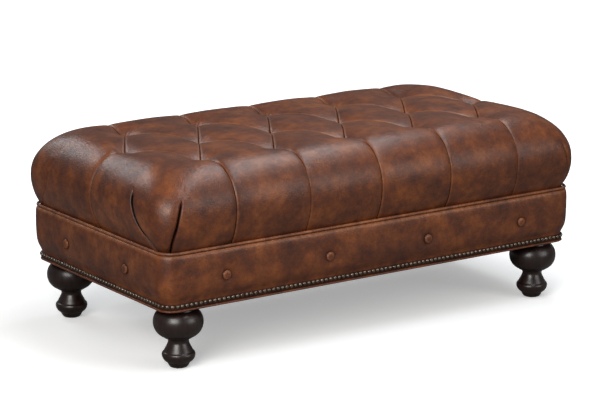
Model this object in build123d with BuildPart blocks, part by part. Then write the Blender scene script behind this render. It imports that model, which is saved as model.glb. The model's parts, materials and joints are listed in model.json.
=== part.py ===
from build123d import *
import math
import os

# Tufted leather ottoman that serves as a coffee table.
# X runs along the long side, -Y is the front, +Z is up. The origin is on the floor under the centre.
# All lengths are in millimetres.

os.makedirs("parts", exist_ok=True)

# Body
body_length = 1220.0  # over the welt line, along X
body_width = 640.0  # over the welt line, along Y
body_corner_radius = 44.0
leg_height = 150.0  # floor to the underside of the frame
band_height = 138.0  # underside of the frame to the top of the deck
cut_overrun = 20.0  # how far a cutter runs past what it cuts

# Pad: its sides swell out from the welt, and its shoulder is a quarter turn up to the tufted field
pad_base_inset = 12.0
pad_overhang = 14.0
pad_half_swell = 8.0  # overhang halfway up the swell
pad_swell_height = 90.0  # deck to the widest level
pad_shoulder_radius = 104.0
pad_corner_radius = 66.0
pad_base_corner_share = 0.6
pad_top_corner_share = 1.5
shoulder_turn_shares = (0.2, 0.4, 0.6, 0.8, 1)

# Tufts: rows of 5, 6 and 5, half a step apart
tuft_half_step = 104.5
tuft_row_gap = 173.0
tuft_depth = 38.0
pillow_crown = 196.0  # above the deck
pillow_shares = ((0, 0), (0.33, 0.11), (0.67, 0.45), (1, 1))  # of the way to a crease, and of the fall
outer_tufts_shares = (-4, -2, 0, 2, 4)
middle_tufts_shares = (-5, -3, -1, 1, 3, 5)

# Straight pleats that run from the outer tufts over the shoulder and down the side
valley_length = 80.0
end_valley_length = 45.0
valley_sink = 0.4  # below the pillows that it starts from
pleat_depth = 7.0
pleat_half_width = 5.5
pleat_foot_height = 14.0  # above the deck, where it closes

# Two sewn darts at each corner
dart_width = 6.0
dart_depth = 10.0
dart_head_height = 138.0  # above the deck
dart_foot_height = 14.0
dart_bow = 22.0
end_dart_head = 110.0  # from the long side
end_dart_foot = 52.0
side_dart_head = 28.0  # from the end
side_dart_foot = 8.0

# Foam core
foam_height = 150.0
foam_inset = 26.0
foam_edge_chamfer = 18.0

# Tuft ties
twine_radius = 1.2
twine_hole_radius = 2.2
tuft_washer_radius = 8.0
tuft_washer_thickness = 2.0
deck_hole_radius = 4.0
deck_washer_radius = 11.0
deck_washer_thickness = 3.0
knot_radius = 2.8
knot_height = 4.0
twine_sides = 4
washer_sides = 4

# Deck, rails and stretchers
deck_thickness = 12.0
padding_depth = 14.0  # rail face to the welt line
rail_thickness = 22.0
stretcher_height = 90.0
stretcher_share = 1.5  # of the tuft half step, clear of the ties
dowel_radius = 5.0
dowel_length = 50.0
dowel_sides = 6
dowel_in_long_rail = 11.0
dowel_inset = 15.0  # from the end of the long rail
dowel_height_shares = (0.24, 0.76)

# Screws
screw_radius = 2.2
screw_head_radius = 4.5
screw_head_height = 2.6
screw_sides = 4
frame_screw_length = 50.0
deck_screw_length = 40.0
stretcher_screw_shares = (0.25, 0.78)
deck_screw_side_shares = (-0.8, 0, 0.8)
deck_screw_end_shares = (-0.5, 0.5)

# Band
leather_thickness = 2.0
band_bulge = 2.0
band_roll_radius = 6.0
band_foot_height = 20.0  # the leather lies on the rail up to here
band_swell_height = 38.0  # from the foot to the straight of the face
swell_shares = ((0, 0), (0.7, 0.4), (1, 1))  # of the way out and up
roll_angles = (45, 90)
strip_height = 19.0
strip_thickness = 3.0
dust_cover_thickness = 1.0
dust_cover_margin = 4.0

# Welt cord
cord_radius = 3.6
cord_sides = 6

# Band buttons
button_radius = 11.0
button_dome = 5.0
button_rim = 1.6
button_crown_share = 0.55
button_sides = 8
button_height = 73.0  # above the underside of the frame
button_shank_radius = 1.5
button_shank_in_rail = 12.0
side_button_pitch = 294.0
end_button_pitch = 280.0
side_button_shares = (-1.5, -0.5, 0.5, 1.5)
end_button_shares = (-0.5, 0.5)

# Nails
nail_head_radius = 4.8
nail_head_height = 3.2
nail_pitch = 12.7
nail_height = 14.0  # above the underside of the frame
nail_sides = 5

# Legs
leg_end_inset = 75.0  # leg axis from the end of the body
leg_side_inset = 66.0  # leg axis from the side of the body
leg_sides = 16
bun_radius = 59.5
bun_foot_radius = 36.0
bun_foot_height = 75.5
bun_shares = ((0.58, 0.3), (0.9, 0.66), (1, 1), (0.9, 1.34), (0.58, 1.68), (0, 2))  # outwards and upwards
collar_radius = 30.0
neck_radius = 24.5
neck_height = 64.0
neck_reach = 10.5  # from its waist to its ends
neck_shares = ((1.1, -1.25), (0, -0.2), (0, 0.2), (1, 0.95))  # outwards and upwards
ring_radius = 39.5
ring_height = 30.0
ring_half_height = 8.0
ring_step = 3.0
ring_shares = ((1, -1), (0, -0.3), (0, 0.3), (1, 1))  # inwards and upwards
foot_radius = 21.0
foot_shoulder_height = 14.0
foot_shoulder_radius = 28.5
glide_radius = 16.0
glide_sides = 8
glide_thickness = 2.0
glide_pin_radius = 1.2
glide_pin_length = 14.0

# Leg fixings
leg_block_side = 90.0
leg_block_height = 50.0
block_screw_height = 29.0
block_screw_step = 12.0
block_screw_share = 0.3
bolt_radius = 4.0
bolt_sides = 6
bolt_in_leg = 45.0
bolt_past_nut = 5.0
nut_barrel_radius = 5.2
nut_barrel_length = 12.0
nut_flange_radius = 11.0
nut_flange_thickness = 1.5

# Levels above the floor
frame_base = leg_height
deck_top = frame_base + band_height
deck_base = deck_top - deck_thickness
rail_base = frame_base + dust_cover_thickness
rail_height = deck_base - rail_base
crown_z = deck_top + pillow_crown
tuft_z = crown_z - tuft_depth
foam_top = deck_top + foam_height
widest_z = deck_top + pad_swell_height

# Outlines in plan
rail_length = body_length - 2 * padding_depth
rail_width = body_width - 2 * padding_depth
rail_corner_radius = body_corner_radius - padding_depth
inner_length = rail_length - 2 * rail_thickness
inner_width = rail_width - 2 * rail_thickness
shoulder_x = body_length / 2 + pad_overhang - pad_shoulder_radius
shoulder_y = body_width / 2 + pad_overhang - pad_shoulder_radius
leg_x = body_length / 2 - leg_end_inset
leg_y = body_width / 2 - leg_side_inset
stretcher_x = stretcher_share * tuft_half_step
corners = [(end, side) for end in (-1, 1) for side in (-1, 1)]


def write(piece, label):
    """Names a finished piece and writes it to its own file."""
    piece.label = label
    export_step(piece, f"parts/{label}.step")


def face_out(x, y, z, normal_x, normal_y):
    """A place on an upright face: its Z axis points out along the normal and its Y axis points up."""
    upright = Vector(0, 0, 1)
    normal = Vector(normal_x, normal_y, 0)
    return Location(Plane(origin=(x, y, z), x_dir=upright.cross(normal), z_dir=normal))


def round_the_body(inset):
    """The welt line moved in by the inset, as a closed path from the middle of the front."""
    half_x, half_y = body_length / 2 - inset, body_width / 2 - inset
    radius = body_corner_radius - inset
    with BuildLine() as path:
        Line((0, -half_y), (half_x - radius, -half_y))
        JernArc((half_x - radius, -half_y), (1, 0), radius, 90)
        Line((half_x, radius - half_y), (half_x, half_y - radius))
        JernArc((half_x, half_y - radius), (0, 1), radius, 90)
        Line((half_x - radius, half_y), (radius - half_x, half_y))
        JernArc((radius - half_x, half_y), (-1, 0), radius, 90)
        Line((-half_x, half_y - radius), (-half_x, radius - half_y))
        JernArc((-half_x, radius - half_y), (0, -1), radius, 90)
        Line((radius - half_x, -half_y), (0, -half_y))
    return path.wire()


# A section of the band: its X axis points out of the front and its Y axis points up
welt_path = round_the_body(0)
band_section = Plane(origin=(0, -body_width / 2, 0), x_dir=(0, -1, 0), z_dir=(-1, 0, 0))

# Where the tufts are
tuft_places = [(share * tuft_half_step, 0) for share in middle_tufts_shares]
for side in (-1, 1):
    tuft_places += [(share * tuft_half_step, side * tuft_row_gap) for share in outer_tufts_shares]

# Tuft washers on the foam, twines with their knots, and washers under the deck
with BuildPart() as tuft_washers:
    with BuildSketch(Plane.XY.offset(foam_top)):
        with Locations(*tuft_places):
            RegularPolygon(tuft_washer_radius, washer_sides)
    extrude(amount=tuft_washer_thickness)
write(tuft_washers.part, "tuft_washers")

knot_top = deck_base - deck_washer_thickness
with BuildPart() as tuft_twines:
    with BuildSketch(Plane.XY.offset(knot_top - knot_height)):
        with Locations(*tuft_places):
            RegularPolygon(knot_radius, twine_sides)
    extrude(amount=knot_height)
    with BuildSketch(Plane.XY.offset(knot_top)):
        with Locations(*tuft_places):
            RegularPolygon(twine_radius, twine_sides)
    extrude(amount=foam_top - knot_top)
write(tuft_twines.part, "tuft_twines")

with BuildPart() as deck_washers:
    with BuildSketch(Plane.XY.offset(knot_top)):
        with Locations(*tuft_places):
            RegularPolygon(deck_washer_radius, washer_sides)
            RegularPolygon(twine_radius, twine_sides, mode=Mode.SUBTRACT)
    extrude(amount=deck_washer_thickness)
write(deck_washers.part, "deck_washers")

# Foam core: a slab with bevelled upper edges and a hole for each twine
with BuildPart() as foam_slab:
    with BuildSketch(Plane.XY.offset(deck_top)):
        RectangleRounded(body_length - 2 * foam_inset, body_width - 2 * foam_inset, body_corner_radius)
    extrude(amount=foam_height)
    chamfer(foam_slab.edges().group_by(Axis.Z)[-1], length=foam_edge_chamfer)
with BuildPart() as foam_core:
    add(foam_slab.part)
    with BuildSketch(Plane.XY.offset(deck_top)):
        with Locations(*tuft_places):
            RegularPolygon(twine_hole_radius, twine_sides)
    extrude(amount=foam_height, mode=Mode.SUBTRACT)
write(foam_core.part, "foam_core")

# One cell of the tufting: what lies above a pillow inside its diamond, with the crown at level zero.
# The pillow falls towards its four creases in flat facets, so that its corners reach the tufts' depth.
pillow_steps = [(-share, fall) for share, fall in reversed(pillow_shares[1:])] + list(pillow_shares)
pillow_half = Vector(tuft_half_step, tuft_row_gap, 0) / 2
pillow_run = Vector(tuft_half_step, -tuft_row_gap, 0) / 2
upwards = Vector(0, 0, 1)
with BuildPart() as full_cell:
    for (start, start_fall), (end, end_fall) in zip(pillow_steps, pillow_steps[1:]):
        origin = pillow_run * start - upwards * (start_fall * tuft_depth / 2)
        with BuildSketch(Plane(origin=origin, x_dir=pillow_half, z_dir=pillow_half.cross(upwards))):
            Polygon(
                *[(share * pillow_half.length, -fall * tuft_depth / 2) for share, fall in pillow_steps],
                (pillow_half.length, tuft_depth + cut_overrun),
                (-pillow_half.length, tuft_depth + cut_overrun),
                align=None,
            )
        along = pillow_run * (end - start) - upwards * ((end_fall - start_fall) * tuft_depth / 2)
        extrude(amount=along.length, dir=along.normalized())


def cell_part(keep_x, keep_y):
    """The part of a cell on the kept sides of its middle: -1 or 1 for a side, 0 for both."""
    with BuildPart() as cell:
        add(full_cell.part)
        if keep_x:
            split(bisect_by=Plane.YZ, keep=Keep.TOP if keep_x > 0 else Keep.BOTTOM)
        if keep_y:
            split(bisect_by=Plane.XZ, keep=Keep.BOTTOM if keep_y > 0 else Keep.TOP)
    return cell.part


half_cells = {side: cell_part(0, -side) for side in (-1, 1)}
corner_cells = {(end, side): cell_part(-end, -side) for end, side in corners}


def valley(half_width, length, end_depth):
    """What a pleat opens from its tuft towards -Y: its floor rises, so that it narrows to the pleat."""
    with BuildPart() as piece:
        with BuildSketch(Plane.XZ):
            Polygon(
                *[((share - 1) * half_width, -fall * tuft_depth) for share, fall in pillow_shares],
                *[((1 - share) * half_width, -fall * tuft_depth) for share, fall in reversed(pillow_shares[:-1])],
                (half_width, cut_overrun),
                (-half_width, cut_overrun),
                align=None,
            )
        along = Vector(0, -length, tuft_depth - end_depth)
        extrude(amount=along.length, dir=along.normalized())
    return piece.part


def pleat_sink(past_shoulder):
    """How deep the bottom of a pleat lies below the crown, at a distance past the shoulder's axis."""
    return crown_z - widest_z - math.sqrt((pad_shoulder_radius - pleat_depth) ** 2 - past_shoulder**2)


side_valley = valley(
    tuft_half_step, valley_length, pleat_sink(tuft_row_gap + valley_length - shoulder_y) - valley_sink
)
end_tuft_x = middle_tufts_shares[-1] * tuft_half_step
end_valley = valley(
    tuft_row_gap, end_valley_length, pleat_sink(end_tuft_x + end_valley_length - shoulder_x) - valley_sink
)

# A pleat's groove, drawn from the shoulder's axis towards -Y and down to where it closes at the foot
swell_drop = pad_swell_height - pleat_foot_height
swell_radius = (pad_swell_height**2 + (pad_overhang + pad_base_inset) ** 2) / (
    2 * (pad_overhang + pad_base_inset)
)
swell_in = swell_radius - math.sqrt(swell_radius**2 - swell_drop**2)
groove_radius = pad_shoulder_radius - pleat_depth
groove_scale = (pleat_depth + cut_overrun) / pleat_depth
with BuildPart() as pleat:
    with BuildLine(Plane.YZ):
        turn = ThreePointArc(
            (0, widest_z + groove_radius),
            (-groove_radius * math.sin(math.radians(45)), widest_z + groove_radius * math.cos(math.radians(45))),
            (-groove_radius, widest_z),
        )
        TangentArc(turn @ 1, (swell_in - pad_shoulder_radius, widest_z - swell_drop), tangent=turn % 1)
    with BuildSketch(Plane.XZ):
        with Locations((0, widest_z + groove_radius)):
            Polygon(
                (0, 0),
                (pleat_half_width * groove_scale, pleat_depth + cut_overrun),
                (-pleat_half_width * groove_scale, pleat_depth + cut_overrun),
                align=None,
            )
    sweep()


def dart_outline(head, foot):
    """A bowed slot that narrows to a point at its head and its foot."""
    head_z, foot_z = deck_top + dart_head_height, deck_top + dart_foot_height
    across, up = (head + foot) / 2 - math.copysign(dart_bow, foot - head), (head_z + foot_z) / 2
    with BuildLine() as outline:
        ThreePointArc((head, head_z), (across, up), (foot, foot_z))
        ThreePointArc((foot, foot_z), (across - math.copysign(dart_width, foot - head), up), (head, head_z))
    return outline.edges()


with BuildPart() as corner_darts:
    with BuildSketch(Plane.YZ.offset(body_length / 2 + pad_overhang - dart_depth)):
        make_face(dart_outline(end_dart_head - body_width / 2, end_dart_foot - body_width / 2))
    extrude(amount=dart_depth + cut_overrun)
    with BuildSketch(Plane.XZ.offset(body_width / 2 + pad_overhang - dart_depth)):
        make_face(dart_outline(body_length / 2 - side_dart_head, body_length / 2 - side_dart_foot))
    extrude(amount=dart_depth + cut_overrun)
    mirror(about=Plane.XZ)
    mirror(about=Plane.YZ)


# Pad cover: the leather and its fibre wadding over the foam
with BuildPart() as pad_cover:
    levels = [
        (0, -pad_base_inset, pad_base_corner_share),
        (pad_swell_height / 2, pad_half_swell, (1 + pad_base_corner_share) / 2),
        (pad_swell_height, pad_overhang, 1),
    ]
    for share in shoulder_turn_shares:
        angle = math.radians(share * 90)
        levels.append(
            (
                pad_swell_height + pad_shoulder_radius * math.sin(angle),
                pad_overhang - pad_shoulder_radius * (1 - math.cos(angle)),
                1 + (pad_top_corner_share - 1) * share,
            )
        )
    for height, overhang, corner_share in levels:
        with BuildSketch(Plane.XY.offset(deck_top + height)):
            RectangleRounded(
                body_length + 2 * overhang, body_width + 2 * overhang, pad_corner_radius * corner_share
            )
    loft(ruled=True)
    with Locations(*[(share * tuft_half_step, 0, crown_z) for share in outer_tufts_shares]):
        add(full_cell.part, mode=Mode.SUBTRACT)
    for side, cell in half_cells.items():
        for share in middle_tufts_shares[1:-1]:
            with Locations((share * tuft_half_step, side * tuft_row_gap, crown_z)):
                add(cell, mode=Mode.SUBTRACT)
    for (end, side), cell in corner_cells.items():
        with Locations((end * end_tuft_x, side * tuft_row_gap, crown_z)):
            add(cell, mode=Mode.SUBTRACT)
    for side, turn in ((-1, 0), (1, 180)):
        for share in outer_tufts_shares:
            tuft = (share * tuft_half_step, side * tuft_row_gap, crown_z - valley_sink)
            with Locations(Location(tuft, (0, 0, turn))):
                add(side_valley, mode=Mode.SUBTRACT)
    for end, turn in ((-1, -90), (1, 90)):
        with Locations(Location((end * end_tuft_x, 0, crown_z - valley_sink), (0, 0, turn))):
            add(end_valley, mode=Mode.SUBTRACT)
    for side, turn in ((-1, 0), (1, 180)):
        for share in outer_tufts_shares:
            with Locations(Location((share * tuft_half_step, side * shoulder_y, 0), (0, 0, turn))):
                add(pleat.part, mode=Mode.SUBTRACT)
    for end, turn in ((-1, -90), (1, 90)):
        with Locations(Location((end * shoulder_x, 0, 0), (0, 0, turn))):
            add(pleat.part, mode=Mode.SUBTRACT)
    add(corner_darts.part, mode=Mode.SUBTRACT)
    for inner in (foam_slab, tuft_washers):
        add(inner.part, mode=Mode.SUBTRACT)
write(pad_cover.part, "pad_cover")


def tapered(wide_radius, narrow_radius, height, sides):
    """A many-sided piece that narrows upwards from level zero."""
    narrowing = (wide_radius - narrow_radius) * math.cos(math.pi / sides)
    with BuildPart() as piece:
        with BuildSketch():
            RegularPolygon(wide_radius, sides)
        extrude(amount=height, taper=math.degrees(math.atan(narrowing / height)))
    return piece.part


upside_down = Location((0, 0, 0), (180, 0, 0))


def screw(length):
    """A tapered-head screw that points down from the face of its head at level zero."""
    with BuildPart() as piece:
        with Locations(upside_down):
            add(tapered(screw_head_radius, screw_radius, screw_head_height, screw_sides))
        with BuildSketch(Plane.XY.offset(-length)):
            RegularPolygon(screw_radius, screw_sides)
        extrude(amount=length - screw_head_height)
    return piece.part


block_z = rail_base + block_screw_height
screw_places = []
for end, side in corners:
    screw_places.append(
        face_out(end * (leg_x - leg_block_side * block_screw_share), side * rail_width / 2, block_z, 0, side)
    )
    screw_places.append(
        face_out(
            end * rail_length / 2,
            side * (leg_y - leg_block_side * block_screw_share),
            block_z + block_screw_step,
            end,
            0,
        )
    )
    for share in stretcher_screw_shares:
        screw_places.append(
            face_out(
                end * stretcher_x,
                side * rail_width / 2,
                deck_base - stretcher_height * (1 - share),
                0,
                side,
            )
        )
with BuildPart() as frame_screws:
    with Locations(*screw_places):
        add(screw(frame_screw_length))
write(frame_screws.part, "frame_screws")

deck_screw_places = []
for side in (-1, 1):
    deck_screw_places += [
        (share * rail_length / 2, side * (rail_width - rail_thickness) / 2) for share in deck_screw_side_shares
    ]
    deck_screw_places += [
        (side * (rail_length - rail_thickness) / 2, share * rail_width / 2) for share in deck_screw_end_shares
    ]
with BuildPart() as deck_screws:
    with Locations(*[(x, y, deck_top) for x, y in deck_screw_places]):
        add(screw(deck_screw_length))
write(deck_screws.part, "deck_screws")

# Dowels at the frame's corners
dowel_places = [
    (end * (rail_length / 2 - dowel_inset), side * inner_width / 2, rail_base + share * rail_height)
    for end, side in corners
    for share in dowel_height_shares
]
with BuildPart() as corner_dowels:
    for x, y, z in dowel_places:
        outward = math.copysign(1, y)
        with BuildSketch(Plane(face_out(x, y + outward * dowel_in_long_rail, z, 0, outward))):
            RegularPolygon(dowel_radius, dowel_sides)
        extrude(amount=-dowel_length)
write(corner_dowels.part, "corner_dowels")

# Buttons of the band: domed caps on shanks
with BuildPart() as button:
    with BuildSketch():
        RegularPolygon(button_radius, button_sides)
    extrude(amount=button_rim)
    with Locations((0, 0, button_rim)):
        add(tapered(button_radius, button_radius * button_crown_share, button_dome - button_rim, button_sides))
    shank_length = band_bulge + padding_depth + button_shank_in_rail
    with BuildSketch(Plane.XY.offset(-shank_length)):
        RegularPolygon(button_shank_radius, twine_sides)
    extrude(amount=shank_length)
button_z = frame_base + button_height
button_places = []
for side in (-1, 1):
    button_places += [
        face_out(share * side_button_pitch, side * (body_width / 2 + band_bulge), button_z, 0, side)
        for share in side_button_shares
    ]
    button_places += [
        face_out(side * (body_length / 2 + band_bulge), share * end_button_pitch, button_z, side, 0)
        for share in end_button_shares
    ]
with BuildPart() as band_buttons:
    with Locations(*button_places):
        add(button.part)
write(band_buttons.part, "band_buttons")

# Deck panel
with BuildPart() as deck_panel:
    with BuildSketch(Plane.XY.offset(deck_base)):
        RectangleRounded(rail_length, rail_width, rail_corner_radius)
        with Locations(*tuft_places):
            RegularPolygon(deck_hole_radius, twine_sides, mode=Mode.SUBTRACT)
    extrude(amount=deck_thickness)
    add(deck_screws.part, mode=Mode.SUBTRACT)
write(deck_panel.part, "deck_panel")

# Long rails: full length, with rounded outer corners
for side, label in ((-1, "rail_front"), (1, "rail_back")):
    with BuildPart() as long_rail:
        with BuildSketch(Plane.XY.offset(rail_base)):
            RectangleRounded(rail_length, rail_width, rail_corner_radius)
            with Locations((0, side * (rail_width - rail_thickness) / 2)):
                Rectangle(rail_length, rail_thickness, mode=Mode.INTERSECT)
        extrude(amount=rail_height)
        for fixing in (corner_dowels, frame_screws, deck_screws, band_buttons):
            add(fixing.part, mode=Mode.SUBTRACT)
    write(long_rail.part, label)

# End rails: between the long rails
for end, label in ((-1, "rail_left"), (1, "rail_right")):
    with BuildPart() as end_rail:
        with BuildSketch(Plane.XY.offset(rail_base)):
            RectangleRounded(rail_length, rail_width, rail_corner_radius)
            with Locations((end * (rail_length - rail_thickness) / 2, 0)):
                Rectangle(rail_thickness, inner_width, mode=Mode.INTERSECT)
        extrude(amount=rail_height)
        for fixing in (corner_dowels, frame_screws, deck_screws, band_buttons):
            add(fixing.part, mode=Mode.SUBTRACT)
    write(end_rail.part, label)

# Cross stretchers under the deck
for end, label in ((-1, "stretcher_left"), (1, "stretcher_right")):
    with BuildPart() as stretcher:
        with Locations((end * stretcher_x, 0, deck_base)):
            Box(
                rail_thickness,
                inner_width,
                stretcher_height,
                align=(Align.CENTER, Align.CENTER, Align.MAX),
            )
        add(frame_screws.part, mode=Mode.SUBTRACT)
    write(stretcher.part, label)

# Leg fixings: a block in each corner of the frame, a tee nut on it and a hanger bolt through both
nut_top = rail_base + leg_block_height + nut_flange_thickness
bolt_base = frame_base - bolt_in_leg
leg_places = [(end * leg_x, side * leg_y) for end, side in corners]
with BuildPart() as hanger_bolts:
    with BuildSketch(Plane.XY.offset(bolt_base)):
        with Locations(*leg_places):
            RegularPolygon(bolt_radius, bolt_sides)
    extrude(amount=nut_top + bolt_past_nut - bolt_base)
write(hanger_bolts.part, "hanger_bolts")

with BuildPart() as leg_tee_nuts:
    with BuildSketch(Plane.XY.offset(nut_top)):
        with Locations(*leg_places):
            RegularPolygon(nut_flange_radius, bolt_sides)
    extrude(amount=-nut_flange_thickness)
    with BuildSketch(Plane.XY.offset(nut_top)):
        with Locations(*leg_places):
            RegularPolygon(nut_barrel_radius, bolt_sides)
    extrude(amount=-nut_flange_thickness - nut_barrel_length)
    add(hanger_bolts.part, mode=Mode.SUBTRACT)
write(leg_tee_nuts.part, "leg_tee_nuts")

with BuildPart() as leg_blocks:
    block_x, block_y = (inner_length - leg_block_side) / 2, (inner_width - leg_block_side) / 2
    with Locations(*[(end * block_x, side * block_y, rail_base) for end, side in corners]):
        Box(
            leg_block_side,
            leg_block_side,
            leg_block_height,
            align=(Align.CENTER, Align.CENTER, Align.MIN),
        )
    for fixing in (hanger_bolts, leg_tee_nuts, frame_screws):
        add(fixing.part, mode=Mode.SUBTRACT)
write(leg_blocks.part, "leg_blocks")

# Foot glides: discs on the floor with pins in the legs
with BuildPart() as foot_glides:
    with BuildSketch():
        with Locations(*leg_places):
            RegularPolygon(glide_radius, glide_sides)
    extrude(amount=glide_thickness)
    with BuildSketch(Plane.XY.offset(glide_thickness)):
        with Locations(*leg_places):
            RegularPolygon(glide_pin_radius, twine_sides)
    extrude(amount=glide_pin_length)
write(foot_glides.part, "foot_glides")

# Turned legs: foot, ring, neck, collar and bun, as many-sided steps
leg_profile = [
    (foot_radius, glide_thickness),
    (foot_shoulder_radius, foot_shoulder_height),
    *[
        (ring_radius - ring_step * inwards, ring_height + ring_half_height * up_share)
        for inwards, up_share in ring_shares
    ],
    *[
        (neck_radius + (collar_radius - neck_radius) * outwards, neck_height + neck_reach * up_share)
        for outwards, up_share in neck_shares
    ],
    (bun_foot_radius, bun_foot_height),
    *[
        (
            bun_foot_radius + (bun_radius - bun_foot_radius) * outwards,
            bun_foot_height + (leg_height - bun_foot_height) * up_share / 2,
        )
        for outwards, up_share in bun_shares
    ],
]
with BuildPart() as leg:
    for low, high in zip(leg_profile, leg_profile[1:]):
        (wide, wide_z), (narrow, narrow_z) = sorted((low, high), reverse=True)
        turn = 0 if narrow_z > wide_z else 180
        with Locations(Location((0, 0, wide_z), (turn, 0, 0))):
            add(tapered(wide, narrow, abs(narrow_z - wide_z), leg_sides))
with BuildPart() as legs:
    add(Compound([Pos(x, y) * leg.part.solid() for x, y in leg_places]))
    for fixing in (hanger_bolts, foot_glides):
        add(fixing.part, mode=Mode.SUBTRACT)
write(legs.part, "legs")

# Band cover: leather from the foot of the rails, out over the padding and onto the deck's edge
swell_z = frame_base + band_foot_height
roll_z = deck_top - band_roll_radius


def band_profile(inset):
    """The points of the band's swell and face on its section, moved in by the inset."""
    foot_out, face = leather_thickness - padding_depth - inset, band_bulge - inset
    swell = [
        (foot_out + (face - foot_out) * outwards, swell_z + band_swell_height * upwards)
        for outwards, upwards in swell_shares
    ]
    return [*swell, (face, roll_z)]


with BuildPart() as band_cover:
    with BuildSketch(band_section):
        Polygon(
            (leather_thickness - padding_depth, frame_base),
            *band_profile(0),
            *[
                (
                    band_bulge - band_roll_radius * (1 - math.cos(math.radians(angle))),
                    roll_z + band_roll_radius * math.sin(math.radians(angle)),
                )
                for angle in roll_angles
            ],
            (-padding_depth, deck_top),
            (-padding_depth, deck_top - leather_thickness),
            (band_bulge - band_roll_radius, deck_top - leather_thickness),
            *reversed(band_profile(leather_thickness)),
            (-padding_depth, frame_base),
            align=None,
        )
    sweep(path=welt_path)
    add(band_buttons.part, mode=Mode.SUBTRACT)
write(band_cover.part, "band_cover")

# Band padding: fibre between the rails and the band cover
with BuildPart() as band_padding:
    with BuildSketch(band_section):
        Polygon(
            *band_profile(leather_thickness),
            (band_bulge - band_roll_radius, deck_top - leather_thickness),
            (-padding_depth, deck_top - leather_thickness),
            align=None,
        )
    sweep(path=welt_path)
    add(band_buttons.part, mode=Mode.SUBTRACT)
write(band_padding.part, "band_padding")

# Nail strip along the foot of the band
strip_out = leather_thickness - padding_depth + strip_thickness
with BuildPart() as nail_strip:
    with BuildSketch(band_section):
        with Locations((strip_out, frame_base)):
            Rectangle(strip_thickness, strip_height, align=(Align.MAX, Align.MIN))
    sweep(path=welt_path)
write(nail_strip.part, "nail_strip")

# Welt cord on the top of the band
with BuildPart() as welt_cord:
    with BuildSketch(band_section):
        with Locations((band_bulge - band_roll_radius, deck_top + cord_radius * math.cos(math.pi / cord_sides))):
            RegularPolygon(cord_radius, cord_sides, rotation=270 - 180 / cord_sides)
    sweep(path=welt_path)
write(welt_cord.part, "welt_cord")

# Nails: low pointed heads that sit on the strip
with BuildPart() as nail:
    with BuildSketch():
        RegularPolygon(nail_head_radius, nail_sides)
    loft(sections=[nail.pending_faces[0], Vertex(0, 0, nail_head_height)], ruled=True)

nail_line = round_the_body(-strip_out)
nail_count = round(nail_line.length / nail_pitch)
nail_places = []
for index in range(nail_count):
    place, along = nail_line @ (index / nail_count), nail_line % (index / nail_count)
    nail_places.append(face_out(place.X, place.Y, frame_base + nail_height, along.Y, -along.X))
with BuildPart() as nails:
    add(Compound([at * nail.part.solid() for at in nail_places]))
write(nails.part, "nails")

# Dust cover under the frame
with BuildPart() as dust_cover:
    with BuildSketch(Plane.XY.offset(frame_base)):
        RectangleRounded(
            rail_length - 2 * dust_cover_margin,
            rail_width - 2 * dust_cover_margin,
            rail_corner_radius - dust_cover_margin,
        )
        with Locations(*leg_places):
            RegularPolygon(bolt_radius, bolt_sides, mode=Mode.SUBTRACT)
    extrude(amount=dust_cover_thickness)
write(dust_cover.part, "dust_cover")
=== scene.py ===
import json
import logging
import math
from dataclasses import dataclass, replace
from enum import Enum

import bpy
import numpy as np
from mathutils import Matrix, Vector, kdtree, noise

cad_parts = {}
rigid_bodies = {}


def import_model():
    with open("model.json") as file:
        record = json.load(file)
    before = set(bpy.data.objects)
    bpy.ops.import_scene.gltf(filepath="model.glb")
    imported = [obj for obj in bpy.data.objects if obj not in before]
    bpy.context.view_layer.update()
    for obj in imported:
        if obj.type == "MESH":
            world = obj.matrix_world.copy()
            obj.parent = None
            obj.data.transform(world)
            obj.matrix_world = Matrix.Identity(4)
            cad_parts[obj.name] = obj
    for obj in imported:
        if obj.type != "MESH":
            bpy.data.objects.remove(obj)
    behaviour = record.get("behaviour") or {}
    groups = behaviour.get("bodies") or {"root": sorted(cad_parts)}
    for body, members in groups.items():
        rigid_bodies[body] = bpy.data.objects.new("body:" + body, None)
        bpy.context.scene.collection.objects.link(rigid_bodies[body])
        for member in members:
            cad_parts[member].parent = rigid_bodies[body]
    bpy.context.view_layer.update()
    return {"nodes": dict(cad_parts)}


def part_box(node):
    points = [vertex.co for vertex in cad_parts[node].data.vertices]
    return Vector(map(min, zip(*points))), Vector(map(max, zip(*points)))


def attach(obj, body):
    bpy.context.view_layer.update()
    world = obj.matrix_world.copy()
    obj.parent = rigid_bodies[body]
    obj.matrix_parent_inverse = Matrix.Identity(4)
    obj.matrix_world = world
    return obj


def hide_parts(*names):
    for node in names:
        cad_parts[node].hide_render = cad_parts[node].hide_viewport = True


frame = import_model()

# Dressed view of the tufted leather ottoman coffee table.
# X runs along the long side, -Y is the front and +Z is up, in metres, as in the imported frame.

LOG = logging.getLogger("ottoman")
MM = 0.001
Point = tuple[float, float]
Place = tuple[float, float, float]
DOUBLES = 0.00002  # how near two vertices are when they are one
SHEET_DOUBLES = 0.00003
CUT_TOLERANCE = 0.00001


class Slot(Enum):
    """Names of the record's material slots; the script does not use them."""

    LEATHER = "leather"
    WELT = "welt_leather"
    FOAM = "foam"
    WADDING = "wadding"
    LEG_WOOD = "leg_wood"
    NAIL = "nail_metal"
    CAMBRIC = "cambric"


# Helpers for modelling


def deselect() -> None:
    """Leaves edit mode and deselects every object."""
    if bpy.context.mode != "OBJECT":
        bpy.ops.object.mode_set(mode="OBJECT")
    bpy.ops.object.select_all(action="DESELECT")


def make_active(piece: bpy.types.Object) -> None:
    """Selects one object alone and makes it the active one."""
    deselect()
    piece.select_set(True)
    bpy.context.view_layer.objects.active = piece


def named(name: str) -> bpy.types.Object:
    """Names the object that an operator has just added."""
    piece = bpy.context.active_object
    piece.name = name
    piece.data.name = name
    return piece


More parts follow.
